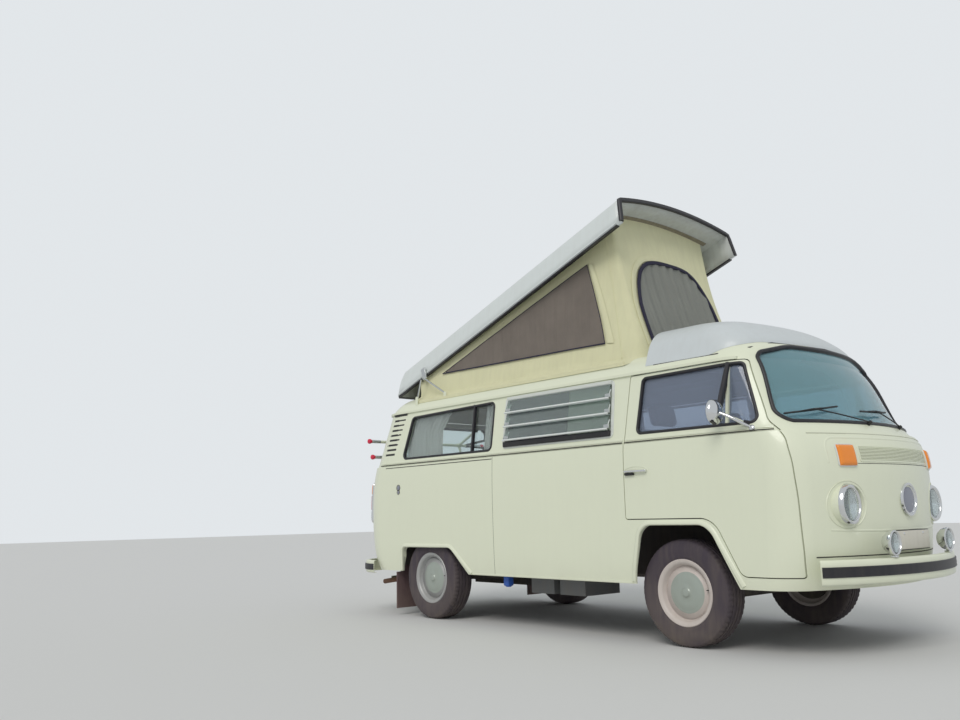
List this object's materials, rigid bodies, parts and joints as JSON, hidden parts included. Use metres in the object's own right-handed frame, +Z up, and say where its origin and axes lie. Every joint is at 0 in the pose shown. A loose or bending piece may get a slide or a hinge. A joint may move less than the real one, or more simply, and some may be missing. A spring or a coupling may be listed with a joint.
{
  "type": "camper van",
  "caption": "Rear-engined camper van with a raised, canvas-sided roof, a luggage tray over the cab, a louvred side window and a bicycle carrier on its tailgate.",
  "frame": {"origin": "on the ground, under the middle of the outline", "axes": "+X towards the van's front, +Y to the van's left, +Z up"},
  "size_m": [4.6049, 1.992, 2.9896],
  "materials": {
    "cream_paint": "semi-gloss, aged",
    "white_shell": "semi-gloss",
    "glass": "clear, faintly blue",
    "aluminium": "satin",
    "bright_metal": "polished",
    "lens": "ribbed",
    "dark_metal": "painted, dusty",
    "underbody": "matt sealant",
    "trim": "matt",
    "cloth": "woven",
    "board": "laminated",
    "curtain_cloth": "woven",
    "canvas_cloth": "coated weave",
    "rubber": "matt, dusty",
    "tyre": "matt, dusty",
    "wheel_paint": "satin, dusty",
    "steel": "satin"
  },
  "bodies": {
    "van_body": {"nose": "cream_paint", "side_right": "cream_paint", "side_left": "cream_paint", "sliding_door": "cream_paint", "rear_frame": "cream_paint", "roof": "cream_paint", "floor": "underbody", "windscreen": "glass", "side_glass": "glass", "jalousie": "aluminium", "roof_rack": "white_shell", "bumpers": "cream_paint", "front_lamps": "bright_metal", "signal_lamps": "lens", "dashboard": "trim", "seats": "cloth", "furniture": "board", "curtains": "curtain_cloth", "engine": "dark_metal", "front_beam": "dark_metal", "rear_axle": "dark_metal", "underfloor_tanks": "underbody", "mud_flaps": "rubber", "canvas": "canvas_cloth"},
    "steering_wheel": {"steering_wheel": "trim"},
    "tailgate": {"tailgate": "cream_paint", "tailgate_glass": "glass"},
    "engine_lid": {"engine_lid": "cream_paint"},
    "roof_lid": {"roof_lid": "white_shell"},
    "roof_arms": {"roof_arms": "aluminium"},
    "rear_arms": {"rear_arms": "steel"},
    "knuckle_right": {"knuckle_right": "dark_metal"},
    "cab_door_right": {"cab_door_right": "cream_paint", "door_glass_right": "glass"},
    "wheel_front_right": {"wheel_front_right": "wheel_paint", "tyre_front_right": "tyre"},
    "wheel_rear_right": {"wheel_rear_right": "wheel_paint", "tyre_rear_right": "tyre"},
    "knuckle_left": {"knuckle_left": "dark_metal"},
    "cab_door_left": {"cab_door_left": "cream_paint", "door_glass_left": "glass"},
    "wheel_front_left": {"wheel_front_left": "wheel_paint", "tyre_front_left": "tyre"},
    "wheel_rear_left": {"wheel_rear_left": "wheel_paint", "tyre_rear_left": "tyre"}
  },
  "joints": [
    {"name": "steer_right", "type": "hinge", "parent": "van_body", "child": "knuckle_right", "pos_m": [1.1845, -0.64, 0.313], "axis": [0, 0, 1], "range_deg": [-32, 32]},
    {"name": "roll_front_right", "type": "hinge", "parent": "knuckle_right", "child": "wheel_front_right", "pos_m": [1.1845, -0.6975, 0.313], "axis": [0, 1, 0], "continuous": true},
    {"name": "roll_rear_right", "type": "hinge", "parent": "van_body", "child": "wheel_rear_right", "pos_m": [-1.2155, -0.7275, 0.313], "axis": [0, 1, 0], "continuous": true},
    {"name": "cab_door_right_hinge", "type": "hinge", "parent": "van_body", "child": "cab_door_right", "pos_m": [1.9595, -0.84, 0.9], "axis": [0, 0, 1], "range_deg": [0, 70]},
    {"name": "steer_left", "type": "hinge", "parent": "van_body", "child": "knuckle_left", "pos_m": [1.1845, 0.64, 0.313], "axis": [0, 0, 1], "range_deg": [-32, 32]},
    {"name": "roll_front_left", "type": "hinge", "parent": "knuckle_left", "child": "wheel_front_left", "pos_m": [1.1845, 0.6975, 0.313], "axis": [0, 1, 0], "continuous": true},
    {"name": "roll_rear_left", "type": "hinge", "parent": "van_body", "child": "wheel_rear_left", "pos_m": [-1.2155, 0.7275, 0.313], "axis": [0, 1, 0], "continuous": true},
    {"name": "cab_door_left_hinge", "type": "hinge", "parent": "van_body", "child": "cab_door_left", "pos_m": [1.9595, 0.84, 0.9], "axis": [0, 0, -1], "range_deg": [0, 70]},
    {"name": "steering_wheel_turn", "type": "hinge", "parent": "van_body", "child": "steering_wheel", "pos_m": [1.5995, -0.4, 1.08], "axis": [-0.584, 0, 0.8117], "range_deg": [-471, 471]},
    {"name": "tailgate_hinge", "type": "hinge", "parent": "van_body", "child": "tailgate", "pos_m": [-1.9685, 0, 1.642], "axis": [0, 1, 0], "range_deg": [0, 82]},
    {"name": "engine_lid_hinge", "type": "hinge", "parent": "van_body", "child": "engine_lid", "pos_m": [-2.1585, 0, 0.869], "axis": [0, 1, 0], "range_deg": [0, 75]},
    {"name": "roof_arm_fold", "type": "hinge", "parent": "van_body", "child": "roof_arms", "pos_m": [-1.1155, 0, 1.776], "axis": [0, 1, 0], "range_deg": [-29.28, 0]},
    {"name": "roof_lid_close", "type": "hinge", "parent": "roof_arms", "child": "roof_lid", "pos_m": [-1.4155, 0, 1.945], "axis": [0, 1, 0], "range_deg": [0, 48.32], "deforming": ["canvas"]},
    {"name": "rear_arm_fold", "type": "hinge", "parent": "van_body", "child": "rear_arms", "pos_m": [-1.4705, 0, 1.772], "axis": [0, 1, 0], "range_deg": [0, 71.66]}
  ],
  "couplings": [
    {"joint": "steer_left", "follows": "steer_right", "ratio": 1},
    {"joint": "steering_wheel_turn", "follows": "steer_right", "ratio": 14.7},
    {"joint": "roof_arm_fold", "follows": "roof_lid_close", "ratio": -0.60179},
    {"joint": "rear_arm_fold", "follows": "roof_lid_close", "ratio": 1.479}
  ]
}
